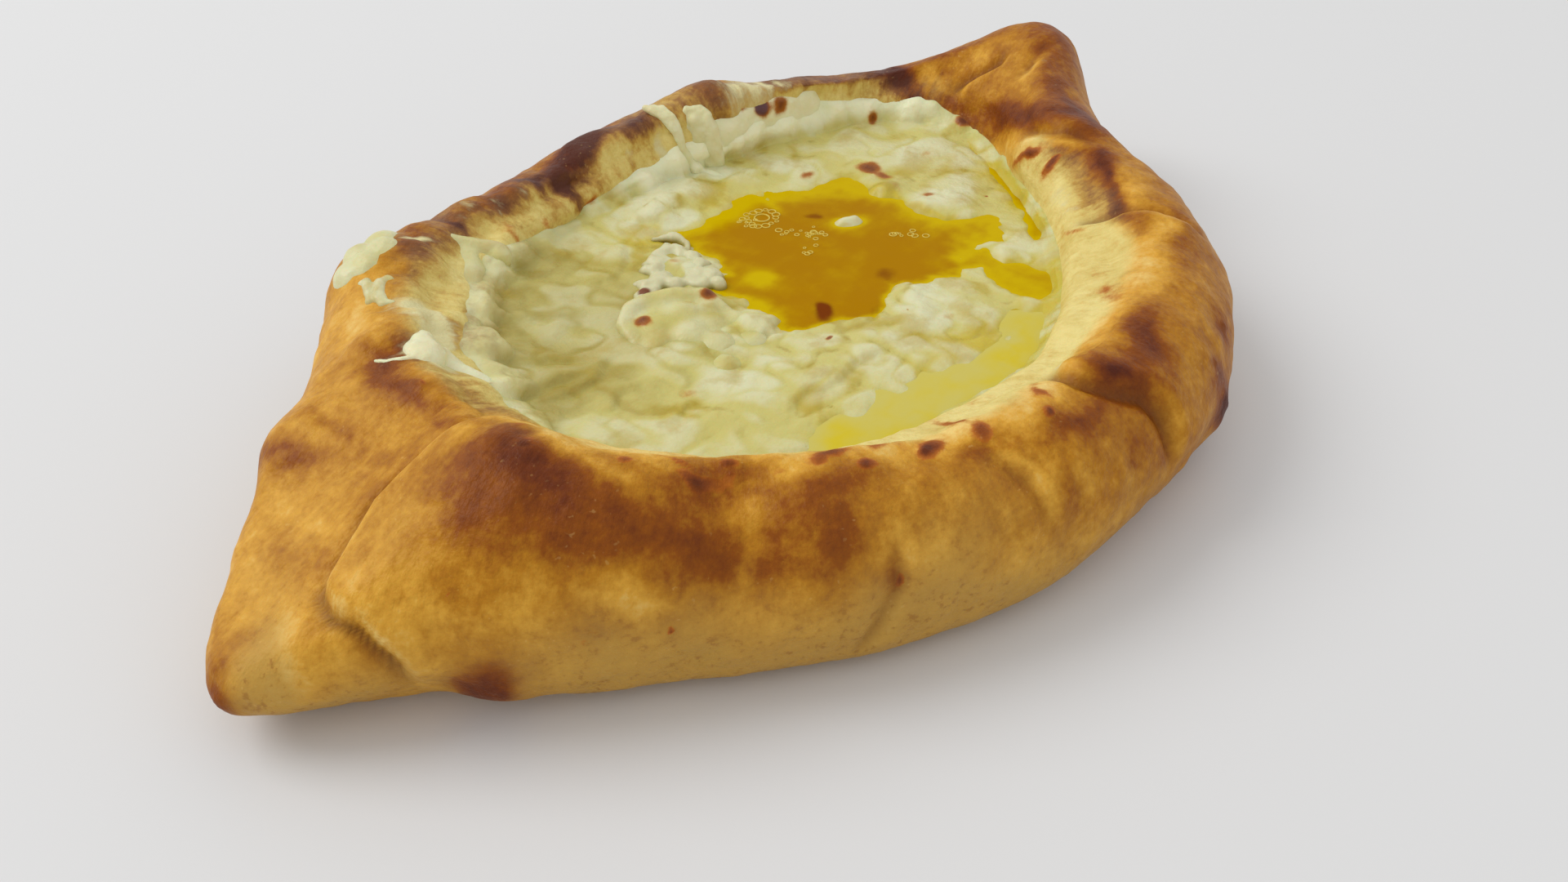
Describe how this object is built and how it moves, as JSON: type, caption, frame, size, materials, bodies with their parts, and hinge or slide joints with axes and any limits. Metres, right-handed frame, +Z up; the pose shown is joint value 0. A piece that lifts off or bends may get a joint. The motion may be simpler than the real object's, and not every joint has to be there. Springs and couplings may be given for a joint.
{
  "type": "khachapuri",
  "caption": "Boat-shaped baked cheese bread: a thick rolled dough rim with pinched ends round a well of melted cheese, with a broken soft egg yolk and butter on top.",
  "frame": {"origin": "centre of the flat base's footprint on the plane that the bread rests on, below the middle of its bounding box", "axes": "+Z up, X along the boat's length with the near, lower end towards -X and the far, taller end towards +X, +Y towards the back side of the rim where the cheese is pulled over it"},
  "size_m": [0.3111, 0.1934, 0.052],
  "materials": {
    "crust": null,
    "melted_cheese": null,
    "yolk": null,
    "melted_butter": null,
    "white": null
  },
  "bodies": {
    "root": {"bread": "crust", "cheese": "melted_cheese", "egg_yolk": "yolk", "butter": "melted_butter", "egg_white": "white", "cheese_fold": "melted_cheese", "rim_cheese_left": "melted_cheese", "rim_cheese_corner": "melted_cheese", "rim_cheese_back": "melted_cheese", "cheese_flap": "melted_cheese", "cheese_pull_left": "melted_cheese", "cheese_pull_right": "melted_cheese"}
  },
  "joints": []
}
